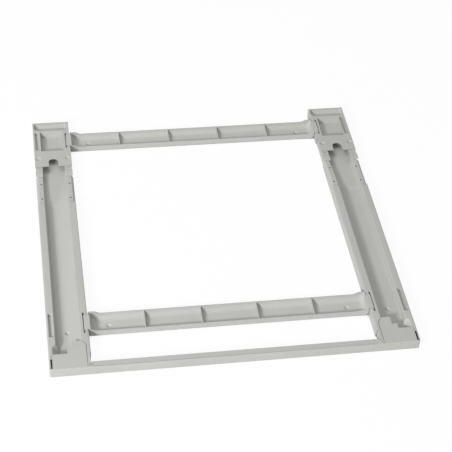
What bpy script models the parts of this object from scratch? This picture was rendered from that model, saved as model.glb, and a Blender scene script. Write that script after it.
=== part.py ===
"""Open stacking frame that carries a washing machine: two pressed channel rails, a front fascia,
two ribbed tray crossbars hooked into the rails, and two rear foot brackets that telescope over
the rail tails. Millimetres below, metres in the scene, +Z up, +X to the viewer's right, the front
towards -Y. Depths are counted from the front face and shifted so the frame is centred."""

import math
from collections import namedtuple
from functools import partial

import bmesh
import bpy

MM = 0.001

# Overall
WIDTH = 600.0
DEPTH = 613.0
TOP = 18.5
SHEET = 1.2
GAP = 0.3
OVER = 6.0
EMBED = 0.6

# Rail, seen as a right-hand rail: X from the centre line, depth from the front face
RAIL_WIDTH = 66.8
INNER_FLANGE = 12.4
OUTER_FLANGE = 12.7
FLOOR_FLAT = 14.7
WALL_SWEEP_SHARES = (0.54, 0.9, 0.72, 1.0)
OUTER_WALL_RUN = 1.5
RAIL_FRONT_GAP = 2.6
SHOULDER_ROUND = 1.8
EDGE_ROUND = 1.0
TROUGH_ROUND = 1.5
FLOOR_TOP = 4.2
RAIL_OUTER_X = WIDTH / 2
RAIL_INNER_X = RAIL_OUTER_X - RAIL_WIDTH
TROUGH_INNER_X = RAIL_INNER_X + INNER_FLANGE
TROUGH_OUTER_X = RAIL_OUTER_X - OUTER_FLANGE
TROUGH_WIDTH = TROUGH_OUTER_X - TROUGH_INNER_X
INNER_WALL_RUN = TROUGH_WIDTH - EDGE_ROUND - OUTER_WALL_RUN - FLOOR_FLAT

# The trough is wider at its front end
JOG_OUT = 5.4
JOG_SLOPE = 3.4
JOG_FRONT = 46.0
JOG_RUN = 6.0

# Lowered rear section of the rail, behind the step line
STEP_TO_REAR = 226.5
STEP_RUN = 0.5
STEP_DROP = 2.5
FLOOR_RISE = 1.4
REAR_CHAMFER = 4.0
REAR_EDGE_SHIFT = 0.5
REAR_FLOOR_WIDER = 5.0
REAR_WALL_RUN = INNER_WALL_RUN - REAR_FLOOR_WIDER
FLOOR_RAMP = 12.0
FLOOR_RAMP_SHARES = ((0.25, 0.2), (0.5, 0.62), (0.75, 0.9), (1.0, 1.0))
STEP_LINE = DEPTH - STEP_TO_REAR
REAR_TOP = TOP - STEP_DROP
REAR_FLOOR_TOP = FLOOR_TOP + FLOOR_RISE

# Tail of the rail, hidden under the bracket
TAIL_TO_REAR = 153.3
TAIL_LENGTH = 59.3
SLIDE_CLEAR = 0.5
TAIL_EDGE_SHIFT = 1.4
TAIL_WALL_RUN = 5.0
TAIL_SWEEP_SHARES = (0.12, 0.55, 0.38, 0.98)
TAIL_FLARE_SHARES = ((0.25, 0.12), (0.5, 0.36), (0.75, 0.66), (1.0, 1.0))
TAIL_WIDER = 1.7
TAIL_LEDGE = 5.3
TAIL_RUNNER_TOP = 10.8
TAIL_RUNNER_LENGTH = 16.0
TAIL_START = DEPTH - TAIL_TO_REAR
TAIL_END = TAIL_START + TAIL_LENGTH

# Front end of the rail
FRONT_STRIP = 5.1
FRONT_TRIM_DEPTH = 22.0
SKIRT_END = 31.0
SKIRT_END_RADIUS = 3.0
TONGUE_OUT = 1.5
TONGUE_TIP = 4.2
TONGUE_SHOULDER = 9.5
TONGUE_EDGE = 6.1
TONGUE_ROOT = 4.0
TONGUE_DROP = 15.5
PIN_MARK_INSET = 4.0
PIN_MARK_FRONT = 25.6
PIN_MARK_RADIUS = 1.2
PIN_MARK_DEPTH = 1.0
SLOT_OUTER_WALL = 2.2
SLOT_WIDTH = 3.4
SLOT_BACK = 21.6
SLOT_DEPTH = 5.5
SEAM = 0.8
SEAT_DEPTH = 1.7

# Hook slits, side recesses, dimples and latch holes
SLIT_INSET = 5.5
SLIT_WIDTH = 2.6
SLIT_DEPTH = 2.3
FRONT_SLIT_START = 71.5
FRONT_SLIT_LENGTH = 45.5
REAR_SLIT_TO_REAR = 76.0
REAR_SLIT_LENGTH = 43.0
RECESS_FRONT = 68.0
RECESS_LENGTH = 52.0
RECESS_WIDTH = 8.4
RECESS_EDGE = 3.0
RECESS_DEPTH = 5.2
RECESS_SLOPE = 4.9
RECESS_END_SLOPE = 1.4
WALL_DRAFT = 0.4
DIMPLE_RADIUS = 4.3
DIMPLE_DEPTH = 2.2
PLATE_DIMPLE_RADIUS = 4.8
PLATE_DIMPLE_DEPTH = 1.0
PLATE_CUP_DEPTH = 1.8
DIMPLE_SHARES = ((0.36, -1.0), (0.6, -0.92), (0.82, -0.56), (1.0, 0.0), (1.1, 0.4))
BULGE_SHARES = ((0.35, -1.0), (0.7, -0.85), (1.0, -0.5), (1.25, 0.0))
FLOOR_DIMPLE_DEPTH = 86.0
FLOOR_DIMPLE_X = 20.8
LATCH_HOLE_RADIUS = 1.8
LATCH_HOLE_DEPTH = 2.5
LATCH_INSET = 4.8
LATCH_OUTSET = 4.0
LATCH_TO_REAR = (211.5, 173.0)

# Rear bracket
PLATE_TO_REAR = 126.0
SKIRT_TO_REAR = 83.8
NOTCH_RADIUS = 8.6
NOTCH_REACH = 11.7
PLATE_DIMPLE_TO_REAR = 104.8
PLATE_DIMPLE_INSET = 7.0
PLATE_DIMPLE_OUTSET = 7.2
POCKET_FRONT_TO_REAR = 83.0
POCKET_LENGTH = 56.0
POCKET_INNER = 11.7
POCKET_OUTER = 13.0
POCKET_DEPTH = 11.4
POCKET_INNER_SLOPE = 6.1
POCKET_FRONT_SLOPE = 1.2
POCKET_REAR_SLOPE = 5.0
BRACKET_RECESS_FRONT_TO_REAR = 79.5
BRACKET_RECESS_LENGTH = 52.5
BRACKET_RECESS_DEPTH = 5.4
GUTTER_INNER = 2.8
GUTTER_OUTER = 2.2
GUTTER_TO_REAR = 12.2
GUTTER_HALF = 10.4
GUTTER_DEEP = 8.0
GUTTER_END = 6.0
GUTTER_END_SHARES = ((0.0, 0.45, 0.2), (0.2, 0.75, 0.62), (0.5, 0.93, 0.9), (1.0, 1.0, 1.0))
LEG_TO_REAR = 153.0
LEG_CHAMFER = 3.4
LEG_PAD = 12.8
LEG_RISE = 1.9
LEG_NECK_RISE = 0.8
LEG_LIFT = 0.3
LEG_SIDE = 0.2
LEG_INNER_WIDTH = 13.0
LEG_OUTER_WIDTH = 12.8
LEG_ROOT = 4.0
LEG_ROOT_UNDER = 0.5
LEG_NOTCH_TO_REAR = 135.0
LEG_NOTCH_LENGTH = 4.0
LEG_NOTCH_DEPTH = 1.2
LEG_VENT_TO_REAR = 130.6
LEG_VENT_WIDTH = 1.6
LEG_VENT_INSET = 3.4
PLATE_FRONT = DEPTH - PLATE_TO_REAR
SKIRT_FRONT = DEPTH - SKIRT_TO_REAR
PLATE_UNDER = TOP - SHEET

# Front fascia
FACE_ROUND = 3.5
BAND_DROP = 2.2
FACE_DROP = 1.3
BAND_BACK = 12.3
BAND_LIP_DROP = 10.5
STEP_END_INSET = 4.7
STEP_END_SPREAD = 5.3
STEP_END_DEPTH = 10.5
STEP_END_SLOPE = 2.2
CLEFT_FRONT = 3.8
CLEFT_BACK = -0.4
PLATE_EDGE = 6.8
PLATE_TAPER = 0.9
PLATE_TAPER_FRONT = 47.0
PLATE_TONGUE = 15.0
PLATE_TONGUE_BACK = 56.5
PLATE_SHELF = 8.5
PLATE_SHELF_BACK = 41.0
PLATE_BACK = 30.6
TURNED_EDGE_BACK = 31.0
TURNED_EDGE_DROP = 13.0

# Crossbar, depth counted from its front lip
FRONT_BAR = 79.8
REAR_BAR_TO_REAR = 67.8
FRONT_BAR_DEPTH = 37.2
REAR_BAR_DEPTH = 35.0
BAR_CLEAR = 0.9
BAR_LIP = 11.3
BAR_FOOT = 1.4
BAR_FLOOR = 4.0
BAR_WALL = 14.6
BAR_UNDER = 2.8
BAR_END_TOP = 19.1
BAR_END_FLOOR = 18.6
BAR_END_UNDER = 17.2
BAR_END_FOOT = 6.4
BAR_END_LENGTH = 20.0
BAR_LIP_BLEND = 4.2
BAR_WALL_BLEND = 10.0
BLEND_SPARE = 0.15
# Along the end, foot, lip, floor, rear wall, underside
BAR_END_SHARES = (
    (0.01, 0.0, 0.0, 0.0, 0.0, 0.0),
    (0.185, 0.0, 0.015, 0.0, 0.34, 0.0),
    (0.36, 0.0, 0.085, 0.0, 0.78, 0.0),
    (0.485, 0.0, 0.18, 0.01, 1.0, 0.0),
    (0.61, 0.01, 0.32, 0.035, 1.0, 0.015),
    (0.71, 0.05, 0.46, 0.09, 1.0, 0.05),
    (0.8, 0.14, 0.62, 0.19, 1.0, 0.11),
    (0.86, 0.25, 0.75, 0.32, 1.0, 0.19),
    (0.905, 0.4, 0.87, 0.51, 1.0, 0.3),
    (0.93, 0.52, 0.96, 0.75, 1.0, 0.42),
    (0.945, 0.6, 1.0, 0.985, 1.0, 0.5),
    (0.975, 0.82, 1.0, 1.0, 1.0, 0.74),
    (1.0, 1.0, 1.0, 1.0, 1.0, 1.0),
)
BAR_RIB_PITCH = 93.6
RIB_THICK = 1.6
RIB_LIP_DROP = 0.2
RIB_WALL_DROP = 0.4
BAR_DIMPLE_INSET = 33.1
BAR_DIMPLE_DEPTH = 17.0
BAR_HOLE_RADIUS = 1.5
TAB_ROOT_INNER = 2.2
TAB_ROOT_OUTER = 0.6
TAB_ROOT_DROP = 1.0
TAB_LIFT = 0.3
TAB_THICK = 0.9
TIP_CLEAR = 0.4
TIP_THICK = 0.7
TIP_DROP = 1.9
TAB_AHEAD = 1.3
TAB_LENGTH = 31.0
REAR_TAB_AHEAD = 2.9
REAR_TAB_LENGTH = 30.0
BAR_END_X = RAIL_INNER_X - BAR_CLEAR
REAR_BAR = DEPTH - REAR_BAR_TO_REAR

# Sliding rear part
SLIDE_TRAVEL = 68.0
SLIDE_NAME = "rear_carriage_slide"

ARC_STEPS = 6
CIRCLE_STEPS = 24
SHARP_ANGLE = math.radians(32)

PAINT = (0.50, 0.505, 0.485, 1.0)
FACE_PAINT = (0.53, 0.535, 0.515, 1.0)
PAINT_ROUGHNESS = 0.45

RailShape = namedtuple(
    "RailShape",
    "inner shoulder bulge top edge_in floor_in sweep floor floor_out edge_out outer_top outer",
)


def to_world(point):
    """Millimetres with the depth counted from the front, to metres about the middle."""
    x, y, z = point
    return (x * MM, (y - DEPTH / 2) * MM, z * MM)


def mesh_object(name, points, faces):
    """A mesh object whose faces all point outwards."""
    mesh = bpy.data.meshes.new(name)
    mesh.from_pydata([to_world(point) for point in points], [], faces)
    shape = bmesh.new()
    shape.from_mesh(mesh)
    bmesh.ops.recalc_face_normals(shape, faces=shape.faces)
    shape.to_mesh(mesh)
    shape.free()
    obj = bpy.data.objects.new(name, mesh)
    bpy.context.scene.collection.objects.link(obj)
    return obj


def loft(name, rings):
    """Skins equal closed rings one after the other and caps both ends."""
    count = len(rings[0])
    points = [point for ring in rings for point in ring]
    faces = [tuple(range(count)), tuple(range(len(points) - count, len(points)))]
    for row in range(len(rings) - 1):
        for column in range(count):
            here, there = row * count, (row + 1) * count
            after = (column + 1) % count
            faces.append((here + column, here + after, there + after, there + column))
    return mesh_object(name, points, faces)


def upright(name, outline, low, high, side=1):
    """A plan outline raised between two heights."""
    rings = [[(side * x, y, z) for x, y in outline] for z in (low, high)]
    return loft(name, rings)


def block(name, limits, low, high, side=1):
    """A box over (low X, high X, front, back), between two heights."""
    x0, x1, y0, y1 = limits
    return upright(name, ((x0, y0), (x1, y0), (x1, y1), (x0, y1)), low, high, side)


def across(name, outline, low, high, side=1):
    """A depth-height outline carried along X."""
    rings = [[(side * x, y, z) for y, z in outline] for x in (low, high)]
    return loft(name, rings)


def along(name, outline, front, back, side=1):
    """An X-height outline carried along the depth."""
    rings = [[(side * x, y, z) for x, z in outline] for y in (front, back)]
    return loft(name, rings)


def basin(name, limits, floor, slopes, lip, grow=0.0, side=1):
    """A tapered well over (low X, high X, front, back), its walls drawn in by the slopes at the
    floor. With grow it is the outside of the same well."""
    x0, x1, y0, y1 = limits
    left, right, front, back = slopes
    rings = []
    for z, share in ((floor - grow, 1.0), (TOP, 0.0), (lip, 0.0)):
        rings.append(
            [
                (side * (x0 + left * share - grow), y0 + front * share - grow, z),
                (side * (x1 - right * share + grow), y0 + front * share - grow, z),
                (side * (x1 - right * share + grow), y1 - back * share + grow, z),
                (side * (x0 + left * share - grow), y1 - back * share + grow, z),
            ]
        )
    return loft(name, rings)


def arc(centre, radius, start, end, steps=ARC_STEPS):
    """Points on an arc between two angles in degrees."""
    return [
        (
            centre[0] + radius * math.cos(math.radians(start + (end - start) * i / steps)),
            centre[1] + radius * math.sin(math.radians(start + (end - start) * i / steps)),
        )
        for i in range(steps + 1)
    ]


def cylinder(name, centre, radius, low, high, side=1):
    outline = arc(centre, radius, 0, 360, CIRCLE_STEPS)[:-1]
    return upright(name, outline, low, high, side)


def level(surface, x):
    """Height of a surface at X, where the surface is a fixed height or a function of X."""
    return surface(x) if callable(surface) else surface


def dish(name, centre, radius, depth, surface, side=1):
    """A shallow round depression's cutter, whose rim lies on the surface."""
    rings = []
    for reach, height in DIMPLE_SHARES:
        ring = arc(centre, radius * reach, 0, 360, CIRCLE_STEPS)[:-1]
        rings.append([(side * x, y, level(surface, x) + depth * height) for x, y in ring])
    return loft(name, rings)


def bulge(name, centre, radius, depth, surface, side=1):
    """The swelling that a depression of the same size pushes out below the sheet."""
    rings = []
    heights = [(reach, depth * height - SHEET) for reach, height in BULGE_SHARES]
    heights.append((BULGE_SHARES[-1][0], -SHEET / 2))
    for reach, height in heights:
        ring = arc(centre, (radius + SHEET / 2) * reach, 0, 360, CIRCLE_STEPS)[:-1]
        rings.append([(side * x, y, level(surface, x) + height) for x, y in ring])
    return loft(name, rings)


def combine(base, tool, operation):
    """Joins the tool to the base or cuts it away, and removes the tool."""
    modifier = base.modifiers.new(operation.lower(), "BOOLEAN")
    modifier.operation = operation
    modifier.solver = "EXACT"
    modifier.object = tool
    graph = bpy.context.evaluated_depsgraph_get()
    result = bpy.data.meshes.new_from_object(base.evaluated_get(graph))
    base.modifiers.clear()
    previous = base.data
    base.data = result
    result.name = previous.name
    bpy.data.meshes.remove(previous)
    spent = tool.data
    bpy.data.objects.remove(tool)
    bpy.data.meshes.remove(spent)


def join(base, *tools):
    for tool in tools:
        combine(base, tool, "UNION")


def cut(base, *tools):
    for tool in tools:
        combine(base, tool, "DIFFERENCE")


def rail_line(shape):
    """The upper side of the pressed rail in X and height, from skirt foot to skirt foot."""
    s = shape
    line = [
        (s.inner, 0.0),
        (s.inner, s.top - s.shoulder),
        (s.inner + s.bulge * s.shoulder, s.top - s.bulge * s.shoulder),
        (s.inner + s.shoulder, s.top),
        (s.edge_in - EDGE_ROUND, s.top),
    ]
    start = (s.edge_in, s.top - EDGE_ROUND)
    end = (s.floor_in, s.floor)
    run, fall = end[0] - start[0], start[1] - end[1]
    run_a, fall_a, run_b, fall_b = s.sweep
    handles = (
        start,
        (start[0] + run_a * run, start[1] - fall_a * fall),
        (start[0] + run_b * run, start[1] - fall_b * fall),
        end,
    )
    for step in range(ARC_STEPS + 1):
        t = step / ARC_STEPS
        weights = ((1 - t) ** 3, 3 * t * (1 - t) ** 2, 3 * t * t * (1 - t), t**3)
        line.append(
            (
                sum(w * p[0] for w, p in zip(weights, handles)),
                sum(w * p[1] for w, p in zip(weights, handles)),
            )
        )
    outer_shoulder = min(s.shoulder, SHOULDER_ROUND) if s.outer_top < s.top else s.shoulder
    line += [
        (s.floor_out - TROUGH_ROUND, s.floor),
        (s.floor_out - s.bulge * TROUGH_ROUND * 0.5, s.floor + s.bulge * TROUGH_ROUND * 0.5),
        (s.floor_out, s.floor + TROUGH_ROUND),
        (s.edge_out, s.outer_top - EDGE_ROUND),
        (s.edge_out + EDGE_ROUND, s.outer_top),
        (s.outer - outer_shoulder, s.outer_top),
        (s.outer - s.bulge * outer_shoulder, s.outer_top - s.bulge * outer_shoulder),
        (s.outer, s.outer_top - outer_shoulder),
        (s.outer, 0.0),
    ]
    return line


def blend(first, second, share):
    """The section a given share of the way from the first one to the second."""
    mixed = []
    for a, b in zip(first, second):
        if isinstance(a, tuple):
            mixed.append(tuple(p + share * (q - p) for p, q in zip(a, b)))
        else:
            mixed.append(a + share * (b - a))
    return RailShape(*mixed)


def trough_height(shape, x):
    """Height of the section's upper side at X, between the trough's edges."""
    line = rail_line(shape)
    for (x0, z0), (x1, z1) in zip(line, line[1:]):
        if shape.edge_in <= x0 <= x <= x1 <= shape.edge_out:
            return z0 + (z1 - z0) * (x - x0) / (x1 - x0)
    return shape.floor


def trough_lean(shape, centre_x, reach, x):
    """Height at X on a plane that leans with the trough and lies a gap below it at the centre."""
    inner, outer = (trough_height(shape, centre_x + way * reach) for way in (-1, 1))
    middle = trough_height(shape, centre_x) - GAP
    return middle + (outer - inner) * (x - centre_x) / (2 * reach)


def underside(line):
    """The line moved one sheet thickness towards the hollow side."""
    moved = []
    for i, point in enumerate(line):
        normals = []
        for a, b in ((i - 1, i), (i, i + 1)):
            if a < 0 or b >= len(line):
                continue
            dx, dz = line[b][0] - line[a][0], line[b][1] - line[a][1]
            length = math.hypot(dx, dz)
            normals.append((dz / length, -dx / length))
        nx = sum(n[0] for n in normals) / len(normals)
        nz = sum(n[1] for n in normals) / len(normals)
        scale = SHEET / (nx * nx + nz * nz)
        moved.append((point[0] + nx * scale, point[1] + nz * scale))
    return moved


def rail_ring(depth, upper, lower, side):
    ring = rail_line(upper) + underside(rail_line(lower))[::-1]
    return [(side * x, depth, z) for x, z in ring]


def make_rail(name, side):
    """One pressed channel rail, with its lowered rear section and the tail the bracket slides on."""
    front = RailShape(
        RAIL_INNER_X,
        SHOULDER_ROUND,
        0.29,
        TOP,
        TROUGH_INNER_X + EDGE_ROUND,
        TROUGH_INNER_X + EDGE_ROUND + INNER_WALL_RUN,
        WALL_SWEEP_SHARES,
        FLOOR_TOP,
        TROUGH_OUTER_X - OUTER_WALL_RUN,
        TROUGH_OUTER_X,
        TOP,
        RAIL_OUTER_X,
    )
    wide = front._replace(
        floor_out=front.floor_out - JOG_SLOPE,
        edge_out=front.edge_out + JOG_OUT,
    )
    lowered = front._replace(
        shoulder=REAR_CHAMFER,
        bulge=0.5,
        top=REAR_TOP,
        outer_top=REAR_TOP,
        edge_in=TROUGH_INNER_X + EDGE_ROUND + REAR_EDGE_SHIFT,
    )
    rear = lowered._replace(
        floor=REAR_FLOOR_TOP,
        floor_in=lowered.edge_in + REAR_WALL_RUN,
    )
    tail_in = TROUGH_INNER_X - TAIL_EDGE_SHIFT
    tail_out = TROUGH_OUTER_X + TAIL_WIDER
    tail = rear._replace(
        inner=RAIL_INNER_X + SHEET + SLIDE_CLEAR,
        shoulder=SHOULDER_ROUND,
        bulge=0.29,
        edge_in=tail_in,
        floor_in=tail_in + TAIL_WALL_RUN,
        sweep=TAIL_SWEEP_SHARES,
        floor_out=tail_out - WALL_DRAFT,
        edge_out=tail_out,
        outer_top=FLOOR_TOP + TAIL_LEDGE,
        outer=RAIL_OUTER_X - SHEET - SLIDE_CLEAR,
    )
    stations = [
        (SHEET + RAIL_FRONT_GAP, wide, wide),
        (JOG_FRONT, wide, wide),
        (JOG_FRONT + JOG_RUN, front, front),
        (STEP_LINE - SHEET - STEP_RUN, front, front),
        (STEP_LINE - SHEET, front, lowered),
        (STEP_LINE, front, lowered),
        (STEP_LINE + STEP_RUN, lowered, lowered),
    ]
    for run, share in FLOOR_RAMP_SHARES:
        ramp = blend(lowered, rear, share)
        stations.append((STEP_LINE + run * FLOOR_RAMP, ramp, ramp))
    flared = rear._replace(edge_in=tail.edge_in, floor_in=tail.floor_in, sweep=tail.sweep)
    flare_start = STEP_LINE + FLOOR_RAMP
    flare_run = TAIL_START - SHEET - STEP_RUN - flare_start
    for run, share in TAIL_FLARE_SHARES:
        ramp = blend(rear, flared, share)
        stations.append((flare_start + run * flare_run, ramp, ramp))
    stations += [
        (TAIL_START - SHEET, flared, tail),
        (TAIL_START, flared, tail),
        (TAIL_START + STEP_RUN, tail, tail),
        (TAIL_END, tail, tail),
    ]
    rail = loft(name, [rail_ring(y, upper, lower, side) for y, upper, lower in stations])

    recess_outer = RAIL_OUTER_X - RECESS_EDGE
    recess = (recess_outer - RECESS_WIDTH, recess_outer, RECESS_FRONT, RECESS_FRONT + RECESS_LENGTH)
    recess_floor = TOP - RECESS_DEPTH
    well = (
        TROUGH_OUTER_X + EMBED,
        RAIL_OUTER_X - EMBED,
        recess[2] - SHEET,
        recess[3] + SHEET,
    )
    dimple = (TROUGH_INNER_X + FLOOR_DIMPLE_X, FLOOR_DIMPLE_DEPTH)
    trough = partial(trough_height, front)
    lean = partial(trough_lean, front, dimple[0], DIMPLE_RADIUS)
    join(
        rail,
        block("well", well, recess_floor - SHEET, PLATE_UNDER + GAP, side),
        bulge("bulge", dimple, DIMPLE_RADIUS, DIMPLE_DEPTH, trough, side),
    )
    slopes = (RECESS_SLOPE, WALL_DRAFT, WALL_DRAFT, RECESS_END_SLOPE)
    spare = TOP + OVER
    strip = RAIL_OUTER_X - FRONT_STRIP
    slot_outer = RAIL_OUTER_X - SLOT_OUTER_WALL
    slot = (slot_outer - SLOT_WIDTH, slot_outer, -OVER, SLOT_BACK)
    slit_start = RAIL_INNER_X + SLIT_INSET
    slit = (
        slit_start,
        slit_start + SLIT_WIDTH,
        FRONT_SLIT_START,
        FRONT_SLIT_START + FRONT_SLIT_LENGTH,
    )
    beyond = RAIL_INNER_X - OVER
    mark = (RAIL_OUTER_X - PIN_MARK_INSET, PIN_MARK_FRONT)
    cut(
        rail,
        basin("recess", recess, recess_floor, slopes, spare, side=side),
        block("front_trim", (beyond, strip, -OVER, FRONT_TRIM_DEPTH), -OVER, spare, side),
        across("skirt_end", skirt_end_outline(), beyond, RAIL_INNER_X + TONGUE_OUT, side),
        upright("plate_seat", plate_outline(SEAM), TOP - SEAT_DEPTH, spare, side),
        block("corner_slot", slot, TOP - SLOT_DEPTH, spare, side),
        block("hook_slit", slit, TOP - SLIT_DEPTH, spare, side),
        dish("dimple", dimple, DIMPLE_RADIUS, DIMPLE_DEPTH, lean, side),
        cylinder("pin_mark", mark, PIN_MARK_RADIUS, TOP - PIN_MARK_DEPTH, spare, side),
    )
    tongue_front = SHEET + GAP
    tongue_back = SKIRT_END + TONGUE_ROOT
    near, far = RAIL_INNER_X + TONGUE_OUT, RAIL_INNER_X + TONGUE_EDGE
    tip = RAIL_INNER_X + TONGUE_TIP
    top_outline = (
        (tip, tongue_front),
        (far, tongue_front),
        (far, tongue_back),
        (near, tongue_back),
        (near, TONGUE_SHOULDER),
    )
    wall_outline = (
        (tip, tongue_front),
        (tip + SHEET, tongue_front),
        (near + SHEET, TONGUE_SHOULDER),
        (near + SHEET, tongue_back),
        (near, tongue_back),
        (near, TONGUE_SHOULDER),
    )
    tongue_top = TOP - GAP
    join(
        rail,
        upright("tongue", top_outline, tongue_top - SHEET, tongue_top, side),
        upright("tongue_wall", wall_outline, TOP - TONGUE_DROP, tongue_top - GAP, side),
    )
    runner_start, runner_end = TAIL_END - EMBED, TAIL_END + TAIL_RUNNER_LENGTH
    for low_x in (tail.inner, tail.outer - SHEET):
        runner = (low_x, low_x + SHEET, runner_start, runner_end)
        join(rail, block("runner", runner, 0.0, TAIL_RUNNER_TOP, side))
    for x in (TROUGH_INNER_X - LATCH_INSET, TROUGH_OUTER_X + LATCH_OUTSET):
        for back in LATCH_TO_REAR:
            hole = cylinder(
                "latch", (x, DEPTH - back), LATCH_HOLE_RADIUS, REAR_TOP - LATCH_HOLE_DEPTH, TOP, side
            )
            cut(rail, hole)
    return rail


def skirt_end_outline():
    """What is taken off the front end of the inner skirt, whose lower corner stays rounded."""
    ahead = FRONT_TRIM_DEPTH - OVER
    corner = SKIRT_END + SKIRT_END_RADIUS
    return [
        (ahead, -OVER),
        (corner, -OVER),
        *arc((corner, SKIRT_END_RADIUS), SKIRT_END_RADIUS, 270, 180),
        (SKIRT_END, TOP + OVER),
        (ahead, TOP + OVER),
    ]


def plate_outline(grow):
    """The stepped corner plate in plan. With grow it is the seat left for it in the rail."""
    inner = RAIL_INNER_X + PLATE_EDGE - grow
    taper = TROUGH_INNER_X + PLATE_TAPER - grow / 2
    tongue = taper + PLATE_TONGUE + grow
    shelf = tongue + PLATE_SHELF
    start = -OVER if grow else SHEET / 2
    behind = GAP if grow else 0.0
    outer = RAIL_OUTER_X - FRONT_STRIP - GAP + behind
    outline = [
        (outer, start),
        (outer, PLATE_BACK + behind),
        (shelf, PLATE_BACK + behind),
        (shelf, PLATE_SHELF_BACK + grow),
        (tongue, PLATE_SHELF_BACK + grow),
        (tongue, PLATE_TONGUE_BACK + behind),
        (taper, PLATE_TONGUE_BACK + behind),
        (inner, PLATE_TAPER_FRONT + grow / 2),
    ]
    if grow:
        return [(inner, start), *outline]
    band_end = RAIL_INNER_X - STEP_END_INSET - OVER
    return [(band_end, start), *outline, (inner, BAND_BACK), (band_end, BAND_BACK)]


def gutter_rings(grow, lip, side):
    """The rear gutter's hollow, drawn in and shallower towards both ends."""
    start, end = RAIL_INNER_X + GUTTER_INNER - grow, RAIL_OUTER_X - GUTTER_OUTER + grow
    centre = DEPTH - GUTTER_TO_REAR
    near = [(start + run * GUTTER_END, wide, deep) for run, wide, deep in GUTTER_END_SHARES]
    far = [(end - run * GUTTER_END, wide, deep) for run, wide, deep in GUTTER_END_SHARES]
    rings = []
    for x, wide, deep in near + far[::-1]:
        half = GUTTER_HALF * wide + grow
        down = GUTTER_DEEP * deep + grow
        ring = [(side * x, centre - half, lip), (side * x, centre - half, TOP)]
        for angle in range(195, 346, 15):
            turn = math.radians(angle)
            y, z = centre + half * math.cos(turn), TOP + down * math.sin(turn)
            ring.append((side * x, y, z))
        ring += [(side * x, centre + half, TOP), (side * x, centre + half, lip)]
        rings.append(ring)
    return rings


def leg_outline():
    """One leg of the bracket in depth and height: a pad on the flange, a lower neck, the root."""
    front = DEPTH - LEG_TO_REAR
    under = REAR_TOP + LEG_LIFT
    root = PLATE_FRONT + LEG_ROOT
    pad_back = front + LEG_PAD
    return (
        (front, under),
        (root, under),
        (root, TOP - LEG_ROOT_UNDER),
        (PLATE_FRONT + SHEET, TOP - LEG_ROOT_UNDER),
        (PLATE_FRONT + SHEET, REAR_TOP + LEG_NECK_RISE),
        (pad_back + EDGE_ROUND, REAR_TOP + LEG_NECK_RISE),
        (pad_back, REAR_TOP + LEG_RISE),
        (front + LEG_CHAMFER, REAR_TOP + LEG_RISE),
        (front, under + LEG_LIFT),
    )


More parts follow.
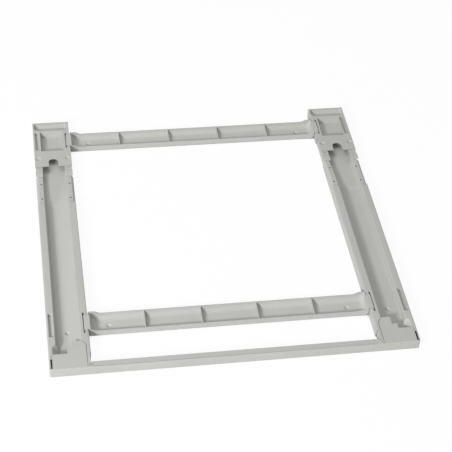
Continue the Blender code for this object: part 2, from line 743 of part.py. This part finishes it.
def make_bracket(name, side):
    """One rear bracket: the plate with two legs on the rail flanges, the foot pocket and gutter."""
    outline = (
        (RAIL_INNER_X, PLATE_FRONT),
        (RAIL_OUTER_X, PLATE_FRONT),
        (RAIL_OUTER_X, DEPTH),
        (RAIL_INNER_X, DEPTH),
    )
    bracket = upright(name, outline, 0.0, TOP, side)
    left, right = RAIL_INNER_X - OVER, RAIL_OUTER_X + OVER
    ahead = PLATE_FRONT - OVER
    hollow = (
        (left, ahead),
        (right, ahead),
        (right, SKIRT_FRONT),
        (RAIL_OUTER_X - SHEET, SKIRT_FRONT),
        (RAIL_OUTER_X - SHEET, DEPTH - SHEET),
        (RAIL_INNER_X + SHEET, DEPTH - SHEET),
        (RAIL_INNER_X + SHEET, SKIRT_FRONT),
        (left, SKIRT_FRONT),
    )
    inside = upright("inside", hollow, -OVER, PLATE_UNDER, side)
    spare = TOP + OVER
    pocket_front = DEPTH - POCKET_FRONT_TO_REAR
    pocket = (
        RAIL_INNER_X + POCKET_INNER,
        RAIL_OUTER_X - POCKET_OUTER,
        pocket_front,
        pocket_front + POCKET_LENGTH,
    )
    pocket_floor = TOP - POCKET_DEPTH
    pocket_slopes = (POCKET_INNER_SLOPE, WALL_DRAFT, POCKET_FRONT_SLOPE, POCKET_REAR_SLOPE)
    recess_outer = RAIL_OUTER_X - RECESS_EDGE
    recess_front = DEPTH - BRACKET_RECESS_FRONT_TO_REAR
    recess = (
        recess_outer - RECESS_WIDTH,
        recess_outer,
        recess_front,
        recess_front + BRACKET_RECESS_LENGTH,
    )
    recess_floor = TOP - BRACKET_RECESS_DEPTH
    recess_slopes = (RECESS_SLOPE, WALL_DRAFT, WALL_DRAFT, RECESS_END_SLOPE)
    cut(
        inside,
        basin("pocket_out", pocket, pocket_floor, pocket_slopes, spare, SHEET, side),
        basin("recess_out", recess, recess_floor, recess_slopes, spare, SHEET, side),
        loft("gutter_out", gutter_rings(SHEET, spare, side)),
    )
    cut(
        bracket,
        inside,
        basin("pocket", pocket, pocket_floor, pocket_slopes, spare, side=side),
        basin("recess", recess, recess_floor, recess_slopes, spare, side=side),
        loft("gutter", gutter_rings(0.0, spare, side)),
    )
    dimple_y = DEPTH - PLATE_DIMPLE_TO_REAR
    dimples = (RAIL_INNER_X + PLATE_DIMPLE_INSET, RAIL_OUTER_X - PLATE_DIMPLE_OUTSET)
    for x in dimples:
        place = (x, dimple_y)
        join(bracket, bulge("bulge", place, PLATE_DIMPLE_RADIUS, PLATE_DIMPLE_DEPTH, TOP, side))
    inner_leg = RAIL_INNER_X + LEG_SIDE
    outer_leg = RAIL_OUTER_X - LEG_SIDE
    legs = (
        (inner_leg, inner_leg + LEG_INNER_WIDTH),
        (outer_leg - LEG_OUTER_WIDTH, outer_leg),
    )
    for inner, outer in legs:
        join(bracket, across("leg", leg_outline(), inner, outer, side))
    notch_x = (TROUGH_INNER_X + TROUGH_OUTER_X) / 2
    notch_centre = (notch_x, PLATE_FRONT + NOTCH_REACH)
    notch = [
        (notch_x + NOTCH_RADIUS, ahead),
        *arc(notch_centre, NOTCH_RADIUS, 0, 180, 2 * ARC_STEPS),
        (notch_x - NOTCH_RADIUS, ahead),
    ]
    slit_start = RAIL_INNER_X + SLIT_INSET
    slit_front = DEPTH - REAR_SLIT_TO_REAR
    slit = (slit_start, slit_start + SLIT_WIDTH, slit_front, slit_front + REAR_SLIT_LENGTH)
    low = TOP - SLIT_DEPTH
    cut(
        bracket,
        upright("notch", notch, low, spare, side),
        block("hook_slit", slit, low, spare, side),
    )
    for x in dimples:
        place = (x, dimple_y)
        cut(bracket, dish("dimple", place, PLATE_DIMPLE_RADIUS, PLATE_CUP_DEPTH, TOP, side))
    vent_front = DEPTH - LEG_VENT_TO_REAR
    for inner, outer in legs:
        vent = (inner + LEG_VENT_INSET, outer - LEG_VENT_INSET) + (
            vent_front,
            vent_front + LEG_VENT_WIDTH,
        )
        cut(bracket, block("vent", vent, REAR_TOP, spare, side))
    notch_front = DEPTH - LEG_NOTCH_TO_REAR
    span = (notch_front, notch_front + LEG_NOTCH_LENGTH)
    under = REAR_TOP
    cut(
        bracket,
        block("outer_notch", (RAIL_OUTER_X - LEG_NOTCH_DEPTH, right) + span, under, spare, side),
        block("inner_notch", (left, RAIL_INNER_X + LEG_NOTCH_DEPTH) + span, under, spare, side),
    )
    return bracket


def step_rings(front, level):
    """What is taken off the top between the raised ends, down to a level, with sloped ends."""
    slope = STEP_END_SPREAD / STEP_END_DEPTH
    back = BAND_BACK + EMBED
    rings = []
    for z, shift in ((level, -STEP_END_SLOPE), (TOP, STEP_END_SLOPE), (TOP + OVER, STEP_END_SLOPE)):
        near = RAIL_INNER_X - STEP_END_INSET + shift + slope * front
        far = near + slope * (back - front)
        rings.append([(near, front, z), (far, back, z), (-far, back, z), (-near, front, z)])
    return rings


def make_fascia(name):
    """The front wall with its lower top band between two corner plates."""
    half = WIDTH / 2
    bend = half - FACE_ROUND
    outside = [
        *arc((bend, FACE_ROUND), FACE_ROUND, 0, -90),
        *[(-x, y) for x, y in arc((bend, FACE_ROUND), FACE_ROUND, -90, 0)],
    ]
    inner_round = FACE_ROUND - SHEET
    inside = [
        *[(-x, y) for x, y in arc((bend, FACE_ROUND), inner_round, 0, -90)],
        *arc((bend, FACE_ROUND), inner_round, -90, 0),
    ]
    face_top = TOP - FACE_DROP
    band_top = TOP - BAND_DROP
    fascia = upright(name, outside + inside, 0.0, TOP + OVER / 2)
    ends = RAIL_INNER_X + PLATE_EDGE + EMBED
    band = (-ends, ends, SHEET / 2, BAND_BACK)
    lip = (-ends + SHEET, ends - SHEET, BAND_BACK - SHEET, BAND_BACK - GAP)
    join(
        fascia,
        block("band", band, band_top - SHEET, PLATE_UNDER + EMBED),
        block("band_lip", lip, TOP - BAND_LIP_DROP, band_top - SHEET / 2),
    )
    edge = RAIL_INNER_X + PLATE_EDGE + GAP / 6
    turned = (edge, edge + SHEET, SHEET / 2, TURNED_EDGE_BACK)
    for side in (-1, 1):
        join(
            fascia,
            upright("corner_plate", plate_outline(0.0), PLATE_UNDER, TOP + OVER / 3, side),
            block("turned_edge", turned, TOP - TURNED_EDGE_DROP, TOP - SHEET / 2, side),
        )
    all_over = (-half - OVER, half + OVER, -OVER, PLATE_TONGUE_BACK + OVER)
    cleft_front = RAIL_INNER_X + CLEFT_FRONT
    cleft_back = RAIL_INNER_X + CLEFT_BACK
    far = BAND_BACK + EMBED
    cleft = (
        (cleft_front, SHEET),
        (RAIL_INNER_X + PLATE_EDGE, SHEET),
        (RAIL_INNER_X + PLATE_EDGE, far),
        (cleft_back, far),
    )
    cut(
        fascia,
        block("level", all_over, TOP, TOP + OVER),
        loft("face_step", step_rings(-OVER, face_top)),
        loft("band_step", step_rings(SHEET, band_top)),
        upright("right_cleft", cleft, -OVER, TOP + OVER),
        upright("left_cleft", cleft, -OVER, TOP + OVER, -1),
    )
    return fascia


def bar_ring(x, shares, lip, depth):
    """The tray's section at one place along it, from the shares of its end's rise."""
    foot_share, lip_share, floor_share, wall_share, under_share = shares
    foot = BAR_FOOT + (BAR_END_FOOT - BAR_FOOT) * foot_share
    lip_top = BAR_LIP + (BAR_END_TOP - BAR_LIP) * lip_share
    floor = BAR_FLOOR + (BAR_END_FLOOR - BAR_FLOOR) * floor_share
    wall_top = BAR_WALL + (BAR_END_TOP - BAR_WALL) * wall_share
    under = BAR_UNDER + (BAR_END_UNDER - BAR_UNDER) * under_share
    front_blend = min(BAR_LIP_BLEND, lip_top - floor - BLEND_SPARE)
    back_blend = min(BAR_WALL_BLEND, wall_top - floor - BLEND_SPARE)
    wall = depth - SHEET
    ring = [(0.0, foot), (0.0, lip_top), (SHEET, lip_top)]
    for step in range(ARC_STEPS + 1):
        turn = math.radians(90 * step / ARC_STEPS)
        ring.append(
            (
                SHEET + BAR_LIP_BLEND * (1 - math.cos(turn)),
                floor + front_blend * (1 - math.sin(turn)),
            )
        )
    for step in range(ARC_STEPS + 1):
        turn = math.radians(90 * step / ARC_STEPS)
        ring.append(
            (
                wall - BAR_WALL_BLEND * (1 - math.sin(turn)),
                floor + back_blend * (1 - math.cos(turn)),
            )
        )
    ring += [
        (wall, wall_top),
        (depth, wall_top),
        (depth, foot),
        (wall, foot),
        (wall, under),
        (SHEET, under),
        (SHEET, foot),
    ]
    return [(x, lip + y, z) for y, z in ring]


def make_crossbar(name, lip, depth, tab_ahead, tab_length):
    """One tray crossbar with its ribs, raised ends and the hooks that drop into the slits."""
    ends = [
        (BAR_END_X - BAR_END_LENGTH * (1 - along_share), shares)
        for along_share, *shares in BAR_END_SHARES
    ]
    rings = [bar_ring(-x, shares, lip, depth) for x, shares in reversed(ends)]
    rings += [bar_ring(x, shares, lip, depth) for x, shares in ends]
    bar = loft(name, rings)
    back = lip + depth - EMBED
    rib_outline = (
        (lip + EMBED, BAR_FLOOR - EMBED),
        (back, BAR_FLOOR - EMBED),
        (back, BAR_WALL - RIB_WALL_DROP),
        (lip + EMBED, BAR_LIP - RIB_LIP_DROP),
    )
    for place in (-1.5, -0.5, 0.5, 1.5):
        x = place * BAR_RIB_PITCH
        join(bar, across("rib", rib_outline, x - RIB_THICK / 2, x + RIB_THICK / 2))
    root_inner, root_outer = BAR_END_X - TAB_ROOT_INNER, BAR_END_X - TAB_ROOT_OUTER
    under = TOP + TAB_LIFT
    top = under + TAB_THICK
    tip_inner = RAIL_INNER_X + SLIT_INSET + TIP_CLEAR
    tip_outer = tip_inner + TIP_THICK
    hook_outline = (
        (root_inner, under - TAB_ROOT_DROP),
        (root_outer, under - TAB_ROOT_DROP),
        (root_outer, under),
        (tip_inner, under),
        (tip_inner, TOP - TIP_DROP),
        (tip_outer, TOP - TIP_DROP),
        (tip_outer, top - GAP),
        (tip_outer - GAP, top),
        (root_inner, top),
    )
    front = lip - tab_ahead
    dimple_x = BAR_END_X - BAR_DIMPLE_INSET
    centre = (dimple_x, lip + BAR_DIMPLE_DEPTH)
    for side in (-1, 1):
        join(
            bar,
            along("hook", hook_outline, front, front + tab_length, side),
            bulge("bulge", centre, DIMPLE_RADIUS, DIMPLE_DEPTH, BAR_FLOOR, side),
        )
        cut(
            bar,
            dish("dimple", centre, DIMPLE_RADIUS, DIMPLE_DEPTH, BAR_FLOOR, side),
            cylinder("hole", centre, BAR_HOLE_RADIUS, 0.0, BAR_FLOOR + GAP, side),
        )
    return bar


def paint(obj, colour):
    """A satin coat of its own, and smooth shading broken at the real edges."""
    material = bpy.data.materials.new(obj.name)
    material.use_nodes = True
    shader = material.node_tree.nodes["Principled BSDF"]
    shader.inputs["Base Color"].default_value = colour
    shader.inputs["Roughness"].default_value = PAINT_ROUGHNESS
    material.diffuse_color = colour
    obj.data.materials.clear()
    obj.data.materials.append(material)
    obj.data.shade_smooth()
    obj.data.set_sharp_from_angle(angle=SHARP_ANGLE)


def hang(parent, child):
    """Parents the child without moving it."""
    child.parent = parent
    child.matrix_parent_inverse = parent.matrix_world.inverted()


def main():
    for obj in list(bpy.data.objects):
        bpy.data.objects.remove(obj)
    rails = [make_rail("left_rail", -1), make_rail("right_rail", 1)]
    brackets = [make_bracket("left_rear_bracket", -1), make_bracket("right_rear_bracket", 1)]
    fascia = make_fascia("front_fascia")
    front_bar = make_crossbar(
        "front_crossbar", FRONT_BAR, FRONT_BAR_DEPTH, TAB_AHEAD, TAB_LENGTH
    )
    rear_bar = make_crossbar(
        "rear_crossbar", REAR_BAR, REAR_BAR_DEPTH, REAR_TAB_AHEAD, REAR_TAB_LENGTH
    )
    for obj in rails + brackets + [front_bar, rear_bar]:
        paint(obj, PAINT)
    paint(fascia, FACE_PAINT)

    slide = bpy.data.objects.new(SLIDE_NAME, None)
    slide.location = to_world((0.0, REAR_BAR, TOP / 2))
    slide["travel_m"] = -SLIDE_TRAVEL * MM
    bpy.context.scene.collection.objects.link(slide)
    bpy.context.view_layer.update()
    for obj in brackets + [rear_bar]:
        hang(slide, obj)


main()
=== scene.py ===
import math

import bmesh
import bpy
from mathutils import Matrix, Vector


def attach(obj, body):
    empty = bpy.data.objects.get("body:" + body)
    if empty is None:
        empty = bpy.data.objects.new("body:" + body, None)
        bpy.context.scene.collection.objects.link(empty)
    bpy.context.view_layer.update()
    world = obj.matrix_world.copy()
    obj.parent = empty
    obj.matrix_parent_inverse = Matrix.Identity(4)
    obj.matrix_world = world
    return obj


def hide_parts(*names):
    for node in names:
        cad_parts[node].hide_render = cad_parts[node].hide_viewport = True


bl_info = {
    "name": "Washer base frame",
    "version": (1, 0, 0),
    "blender": (4, 5, 0),
    "location": "3D View > Sidebar > Base frame",
    "description": "Dresses the open base frame of a washing machine: painted pressings and stage",
    "category": "Object",
}

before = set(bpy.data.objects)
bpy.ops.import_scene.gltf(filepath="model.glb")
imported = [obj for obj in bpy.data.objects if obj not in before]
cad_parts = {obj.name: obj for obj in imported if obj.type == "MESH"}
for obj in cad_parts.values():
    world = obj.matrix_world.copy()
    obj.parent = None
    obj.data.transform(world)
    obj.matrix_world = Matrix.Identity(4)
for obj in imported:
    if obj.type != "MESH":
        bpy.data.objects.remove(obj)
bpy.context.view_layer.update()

# Mesh clean-up before the pressings are shaded
MERGE_DISTANCE = 2e-6
FLAT_ANGLE = math.radians(0.4)

# Satin paint
CLOUD_SCALE = 14.0
CLOUD_DETAIL = 4.0
CLOUD_STOPS = (0.3, 0.7)
CLOUD_SHARES = (0.975, 1.02)
SPECK_SCALE = 320.0
SPECK_DETAIL = 2.0
GLOSS_SPREAD = (-0.05, 0.07)
RIPPLE_SCALE = 700.0
RIPPLE_DETAIL = 1.0
RIPPLE_DEPTH = 0.0002
PAINT_SPECULAR = 0.35
BEVEL_SAMPLES = 6

# Floor and sky
WHITE = (1, 1, 1, 1)
FLOOR_DROP = 0.0002
FLOOR_GLOW = 0.93
FLOOR_SHADE = (0.075, 0.075, 0.075, 1)
# The floor's glow is dimmed where ambient occlusion finds the frame close by: painted shade in the
# slots and gaps under and beside the frame.
PAINTED_SHADE_REACH = 0.05
PAINTED_SHADE_SAMPLES = 8
PAINTED_SHADE_SPAN = (0.08, 0.3)

# Places of the lights, and place and turns of the camera
KEY_PLACE = Vector((-2.1, -2.8, 1.8))
TOP_PLACE = Vector((-1.1, 0.7, 2.1))
CAMERA_PLACE = Vector((-0.31053, -1.67467, 1.60786))
CAMERA_TURNS = (0.19803, 0.7518, 0.0714)
SENSOR_WIDTH = 36.0
CLIP_END = 30.0


class BaseFrameFinish(bpy.types.PropertyGroup):
    """Colours and surface of the painted pressings."""

    rail_paint: bpy.props.FloatVectorProperty(
        name="Rail paint",
        description="Satin grey of the rails and the rear brackets",
        subtype="COLOR",
        default=(0.525, 0.53, 0.505),
        min=0.0,
        max=1.0,
    )
    # Painted light: the fascia wears the rails' paint, made a little lighter to stand in for the
    # brighter light on its front face.
    fascia_paint_with_painted_light: bpy.props.FloatVectorProperty(
        name="Fascia paint",
        description="Slightly lighter grey of the front fascia",
        subtype="COLOR",
        default=(0.535, 0.54, 0.515),
        min=0.0,
        max=1.0,
    )
    # Painted light: the crossbars wear the rails' paint, made lighter to stand in for the frontal
    # light on their tray walls.
    bar_paint_with_painted_light: bpy.props.FloatVectorProperty(
        name="Crossbar paint",
        description="Grey of the two tray crossbars",
        subtype="COLOR",
        default=(0.545, 0.55, 0.525),
        min=0.0,
        max=1.0,
    )
    roughness: bpy.props.FloatProperty(
        name="Roughness",
        description="Roughness of the satin paint",
        subtype="FACTOR",
        default=0.5,
        min=0.0,
        max=1.0,
    )
    grain: bpy.props.FloatProperty(
        name="Orange peel",
        description="Strength of the paint's fine ripple",
        subtype="FACTOR",
        default=0.12,
        min=0.0,
        max=1.0,
    )


class BaseFrameSizes(bpy.types.PropertyGroup):
    """Sizes of the fine forms that the dressed pieces carry."""

    edge_round: bpy.props.FloatProperty(
        name="Edge rounding",
        description="Radius of the rounding on pressed and cut edges",
        subtype="DISTANCE",
        unit="LENGTH",
        default=0.00018,
        min=0.0,
        max=0.002,
    )
    crisp_angle: bpy.props.FloatProperty(
        name="Crisp angle",
        description="Edges that turn more than this are cut or folded edges, the rest is one curve",
        subtype="ANGLE",
        default=math.radians(32),
        min=0.0,
    )


class BaseFrameStage(bpy.types.PropertyGroup):
    """Floor, lights and camera."""

    floor_colour: bpy.props.FloatVectorProperty(
        name="Floor",
        description="Colour of the floor in the light that it throws back onto the frame",
        subtype="COLOR",
        default=(0.8, 0.8, 0.8),
        min=0.0,
        max=1.0,
    )
    floor_half: bpy.props.FloatProperty(
        name="Floor half size",
        description="Half the side of the square floor",
        subtype="DISTANCE",
        unit="LENGTH",
        default=6.0,
        min=1.0,
    )
    key_power: bpy.props.FloatProperty(
        name="Key light",
        description="Power of the softbox at the front left",
        subtype="POWER",
        unit="POWER",
        default=100.0,
        min=0.0,
    )
    key_size: bpy.props.FloatProperty(
        name="Key size",
        description="Side of the square softbox at the front left",
        subtype="DISTANCE",
        unit="LENGTH",
        default=0.6,
        min=0.01,
    )
    top_power: bpy.props.FloatProperty(
        name="Top light",
        description="Power of the softbox overhead",
        subtype="POWER",
        unit="POWER",
        default=13.0,
        min=0.0,
    )
    top_size: bpy.props.FloatProperty(
        name="Top size",
        description="Side of the square softbox overhead",
        subtype="DISTANCE",
        unit="LENGTH",
        default=1.5,
        min=0.01,
    )
    sky_strength: bpy.props.FloatProperty(
        name="Sky light",
        description="Strength of the even light from all round",
        default=0.4,
        min=0.0,
    )
    lens: bpy.props.FloatProperty(
        name="Lens",
        description="Focal length on a 36 mm sensor",
        subtype="DISTANCE_CAMERA",
        default=105.49,
        min=10.0,
    )


def noise(nodes, links, place, scale, detail):
    """A noise pattern on the piece's own coordinates."""
    pattern = nodes.new("ShaderNodeTexNoise")
    pattern.inputs["Scale"].default_value = scale
    pattern.inputs["Detail"].default_value = detail
    links.new(place.outputs["Object"], pattern.inputs["Vector"])
    return pattern


def paint_material(context, name, colour):
    """Satin paint on pressed steel: faint clouds, fine ripple and slightly uneven gloss."""
    finish, sizes = context.scene.base_frame_finish, context.scene.base_frame_sizes
    material = bpy.data.materials.new(name)
    material.use_nodes = True
    nodes, links = material.node_tree.nodes, material.node_tree.links
    shader = nodes["Principled BSDF"]
    shader.inputs["Specular IOR Level"].default_value = PAINT_SPECULAR
    place = nodes.new("ShaderNodeTexCoord")

    cloud = noise(nodes, links, place, CLOUD_SCALE, CLOUD_DETAIL)
    tone = nodes.new("ShaderNodeValToRGB")
    for stop, position, share in zip(tone.color_ramp.elements, CLOUD_STOPS, CLOUD_SHARES):
        stop.position = position
        stop.color = (*[min(1, channel * share) for channel in colour], 1)
    links.new(cloud.outputs["Fac"], tone.inputs["Fac"])
    links.new(tone.outputs["Color"], shader.inputs["Base Color"])

    speck = noise(nodes, links, place, SPECK_SCALE, SPECK_DETAIL)
    gloss = nodes.new("ShaderNodeMapRange")
    gloss.inputs["To Min"].default_value = finish.roughness + GLOSS_SPREAD[0]
    gloss.inputs["To Max"].default_value = finish.roughness + GLOSS_SPREAD[1]
    links.new(speck.outputs["Fac"], gloss.inputs["Value"])
    links.new(gloss.outputs["Result"], shader.inputs["Roughness"])

    ripple = noise(nodes, links, place, RIPPLE_SCALE, RIPPLE_DETAIL)
    bump = nodes.new("ShaderNodeBump")
    bump.inputs["Strength"].default_value = finish.grain
    bump.inputs["Distance"].default_value = RIPPLE_DEPTH
    links.new(ripple.outputs["Fac"], bump.inputs["Height"])
    edges = nodes.new("ShaderNodeBevel")
    edges.samples = BEVEL_SAMPLES
    edges.inputs["Radius"].default_value = sizes.edge_round
    links.new(edges.outputs["Normal"], bump.inputs["Normal"])
    links.new(bump.outputs["Normal"], shader.inputs["Normal"])
    return material


def even_normals(mesh, crisp_angle):
    """Set corner normals that follow the pressed curves and stay true on the flat faces."""
    around = [[] for _ in mesh.vertices]
    for face in mesh.polygons:
        for vertex in face.vertices:
            around[vertex].append(face)
    limit = math.cos(crisp_angle)
    normals = []
    for face in mesh.polygons:
        for vertex in face.vertices:
            mean = Vector()
            for near in around[vertex]:
                if near.normal.dot(face.normal) > limit:
                    mean += near.normal * near.area
            normals.append(mean.normalized() if mean.length > 0 else face.normal)
    mesh.normals_split_custom_set(normals)


def dress(context, node, body, material):
    """Put the pressing, with smooth curves between its folds, in the node's place."""
    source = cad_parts[node]
    mesh = bpy.data.meshes.new(node + "_pressing")
    shape = bmesh.new()
    shape.from_mesh(source.data)
    bmesh.ops.remove_doubles(shape, verts=shape.verts, dist=MERGE_DISTANCE)
    bmesh.ops.dissolve_limit(
        shape, angle_limit=FLAT_ANGLE, verts=shape.verts, edges=shape.edges
    )
    bmesh.ops.triangulate(shape, faces=shape.faces)
    shape.to_mesh(mesh)
    shape.free()
    mesh.shade_smooth()
    even_normals(mesh, context.scene.base_frame_sizes.crisp_angle)
    mesh.materials.append(material)
    piece = bpy.data.objects.new(node + "_pressing", mesh)
    context.scene.collection.objects.link(piece)
    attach(piece, body)
    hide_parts(node)


class BASEFRAME_OT_rails(bpy.types.Operator):
    """Dress the two channel rails."""

    bl_idname = "baseframe.rails"
    bl_label = "Rails"

    def execute(self, context):
        finish = context.scene.base_frame_finish
        paint = paint_material(context, "rail_paint", finish.rail_paint)
        for node in ("left_rail", "right_rail"):
            dress(context, node, "frame", paint)
        return {"FINISHED"}


class BASEFRAME_OT_brackets(bpy.types.Operator):
    """Dress the two sliding rear brackets."""

    bl_idname = "baseframe.brackets"
    bl_label = "Rear brackets"

    def execute(self, context):
        finish = context.scene.base_frame_finish
        paint = paint_material(context, "bracket_paint", finish.rail_paint)
        for node in ("left_rear_bracket", "right_rear_bracket"):
            dress(context, node, "rear_carriage", paint)
        return {"FINISHED"}


class BASEFRAME_OT_fascia(bpy.types.Operator):
    """Dress the front fascia."""

    bl_idname = "baseframe.fascia"
    bl_label = "Front fascia"

    def execute(self, context):
        finish = context.scene.base_frame_finish
        # The fascia's grey is the rails' paint made lighter as painted light on its front face.
        paint = paint_material(context, "fascia_paint_with_painted_light", finish.fascia_paint_with_painted_light)
        dress(context, "front_fascia", "frame", paint)
        return {"FINISHED"}


class BASEFRAME_OT_crossbars(bpy.types.Operator):
    """Dress the two ribbed tray crossbars."""

    bl_idname = "baseframe.crossbars"
    bl_label = "Crossbars"

    def execute(self, context):
        finish = context.scene.base_frame_finish
        # The crossbars' grey is the rails' paint made lighter as painted light on their tray walls.
        paint = paint_material(context, "crossbar_paint", finish.bar_paint_with_painted_light)
        dress(context, "front_crossbar", "frame", paint)
        dress(context, "rear_crossbar", "rear_carriage", paint)
        return {"FINISHED"}


def seen_directly(nodes, links):
    """One for camera, glossy and transmission rays, and zero for the rays that light things."""
    path = nodes.new("ShaderNodeLightPath")
    seen = path.outputs["Is Camera Ray"]
    for kind in ("Is Glossy Ray", "Is Transmission Ray"):
        either = nodes.new("ShaderNodeMath")
        either.operation = "MAXIMUM"
        links.new(seen, either.inputs[0])
        links.new(path.outputs[kind], either.inputs[1])
        seen = either.outputs[0]
    return seen


def floor_material(colour):
    """A pale floor that shows nearly white, with the frame's real shadow on its faint diffuse share
    and painted shade where its glow is dimmed close to the frame.
    """
    material = bpy.data.materials.new("floor")
    material.use_nodes = True
    nodes, links = material.node_tree.nodes, material.node_tree.links
    nodes.clear()
    out = nodes.new("ShaderNodeOutputMaterial")
    plain = nodes.new("ShaderNodeBsdfDiffuse")
    plain.inputs["Color"].default_value = (*colour, 1)

    # Painted shade: ambient occlusion dims the floor's glow where the frame is close, darkening the
    # slots and gaps under it.
    painted_contact_shade = nodes.new("ShaderNodeAmbientOcclusion")
    painted_contact_shade.samples = PAINTED_SHADE_SAMPLES
    painted_contact_shade.inputs["Distance"].default_value = PAINTED_SHADE_REACH
    glow_left_by_painted_shade = nodes.new("ShaderNodeMapRange")
    glow_left_by_painted_shade.inputs["From Min"].default_value = PAINTED_SHADE_SPAN[0]
    glow_left_by_painted_shade.inputs["From Max"].default_value = PAINTED_SHADE_SPAN[1]
    glow_left_by_painted_shade.inputs["To Min"].default_value = 0.0
    glow_left_by_painted_shade.inputs["To Max"].default_value = FLOOR_GLOW
    links.new(painted_contact_shade.outputs["AO"], glow_left_by_painted_shade.inputs["Value"])
    glow = nodes.new("ShaderNodeEmission")
    glow.inputs["Color"].default_value = WHITE
    links.new(glow_left_by_painted_shade.outputs["Result"], glow.inputs["Strength"])
    shade = nodes.new("ShaderNodeBsdfDiffuse")
    shade.inputs["Color"].default_value = FLOOR_SHADE
    shown = nodes.new("ShaderNodeAddShader")
    links.new(glow.outputs[0], shown.inputs[0])
    links.new(shade.outputs[0], shown.inputs[1])

    mix = nodes.new("ShaderNodeMixShader")
    links.new(seen_directly(nodes, links), mix.inputs[0])
    links.new(plain.outputs[0], mix.inputs[1])
    links.new(shown.outputs[0], mix.inputs[2])
    links.new(mix.outputs[0], out.inputs["Surface"])
    return material


def light_sky(scene, strength):
    """Light the scene evenly from all round, with white where the sky is seen."""
    world = bpy.data.worlds.new("studio")
    scene.world = world
    world.use_nodes = True
    nodes, links = world.node_tree.nodes, world.node_tree.links
    light = nodes["Background"]
    light.inputs["Color"].default_value = WHITE
    light.inputs["Strength"].default_value = strength
    shown = nodes.new("ShaderNodeBackground")
    shown.inputs["Color"].default_value = WHITE
    shown.inputs["Strength"].default_value = 1.0
    mix = nodes.new("ShaderNodeMixShader")
    links.new(seen_directly(nodes, links), mix.inputs[0])
    links.new(light.outputs[0], mix.inputs[1])
    links.new(shown.outputs[0], mix.inputs[2])
    links.new(mix.outputs[0], nodes["World Output"].inputs["Surface"])


def lay_floor(scene, stage):
    """Lay the square floor a hair below the frame."""
    shape = bmesh.new()
    bmesh.ops.create_grid(shape, x_segments=1, y_segments=1, size=stage.floor_half)
    mesh = bpy.data.meshes.new("floor")
    shape.to_mesh(mesh)
    shape.free()
    mesh.materials.append(floor_material(stage.floor_colour))
    floor = bpy.data.objects.new("floor", mesh)
    floor.location.z = -FLOOR_DROP
    scene.collection.objects.link(floor)


def hang_softbox(scene, name, power, size, place):
    """Hang a square area light that faces the frame's centre."""
    light = bpy.data.lights.new(name, "AREA")
    light.energy = power
    light.size = size
    lamp = bpy.data.objects.new(name, light)
    aim = place.to_track_quat("Z", "Y").to_matrix().to_4x4()
    lamp.matrix_world = Matrix.Translation(place) @ aim
    scene.collection.objects.link(lamp)


def set_camera(scene, focal_length):
    """Set up the photograph's camera by its yaw, pitch and roll."""
    yaw, pitch, roll = CAMERA_TURNS
    ahead = Vector(
        (
            math.sin(yaw) * math.cos(pitch),
            math.cos(yaw) * math.cos(pitch),
            -math.sin(pitch),
        )
    )
    level = Vector((math.cos(yaw), -math.sin(yaw), 0))
    rise = level.cross(ahead)
    right = math.cos(roll) * level + math.sin(roll) * rise
    up = -math.sin(roll) * level + math.cos(roll) * rise
    lens = bpy.data.cameras.new("camera")
    lens.lens = focal_length
    lens.sensor_width = SENSOR_WIDTH
    lens.clip_end = CLIP_END
    camera = bpy.data.objects.new("camera", lens)
    turn = Matrix((right, up, -ahead)).transposed().to_4x4()
    camera.matrix_world = Matrix.Translation(CAMERA_PLACE) @ turn
    scene.collection.objects.link(camera)
    scene.camera = camera


class BASEFRAME_OT_stage(bpy.types.Operator):
    """Set up the pale floor, the lights and the camera."""

    bl_idname = "baseframe.stage"
    bl_label = "Stage"

    def execute(self, context):
        scene, stage = context.scene, context.scene.base_frame_stage
        lay_floor(scene, stage)
        light_sky(scene, stage.sky_strength)
        hang_softbox(scene, "key", stage.key_power, stage.key_size, KEY_PLACE)
        hang_softbox(scene, "top", stage.top_power, stage.top_size, TOP_PLACE)
        set_camera(scene, stage.lens)
        scene.view_settings.view_transform = "Standard"
        return {"FINISHED"}


class BASEFRAME_PT_panel(bpy.types.Panel):
    """Lists the frame's pieces and settings."""

    bl_idname = "BASEFRAME_PT_panel"
    bl_label = "Base frame"
    bl_space_type = "VIEW_3D"
    bl_region_type = "UI"
    bl_category = "Base frame"

    def draw(self, context):
        for group in ("base_frame_finish", "base_frame_sizes", "base_frame_stage"):
            settings = getattr(context.scene, group)
            box = self.layout.box()
            for key in settings.__annotations__:
                box.prop(settings, key)
        for kind in OPERATORS:
            self.layout.operator(kind.bl_idname)


OPERATORS = (
    BASEFRAME_OT_rails,
    BASEFRAME_OT_brackets,
    BASEFRAME_OT_fascia,
    BASEFRAME_OT_crossbars,
    BASEFRAME_OT_stage,
)
GROUPS = (BaseFrameFinish, BaseFrameSizes, BaseFrameStage)


def register():
    for kind in (*GROUPS, *OPERATORS, BASEFRAME_PT_panel):
        bpy.utils.register_class(kind)
    scene = bpy.types.Scene
    scene.base_frame_finish = bpy.props.PointerProperty(type=BaseFrameFinish)
    scene.base_frame_sizes = bpy.props.PointerProperty(type=BaseFrameSizes)
    scene.base_frame_stage = bpy.props.PointerProperty(type=BaseFrameStage)


def unregister():
    for name in ("base_frame_finish", "base_frame_sizes", "base_frame_stage"):
        delattr(bpy.types.Scene, name)
    for kind in reversed((*GROUPS, *OPERATORS, BASEFRAME_PT_panel)):
        bpy.utils.unregister_class(kind)


def main():
    register()
    bpy.ops.baseframe.rails()
    bpy.ops.baseframe.brackets()
    bpy.ops.baseframe.fascia()
    bpy.ops.baseframe.crossbars()
    bpy.ops.baseframe.stage()


if __name__ == "__main__":
    main()
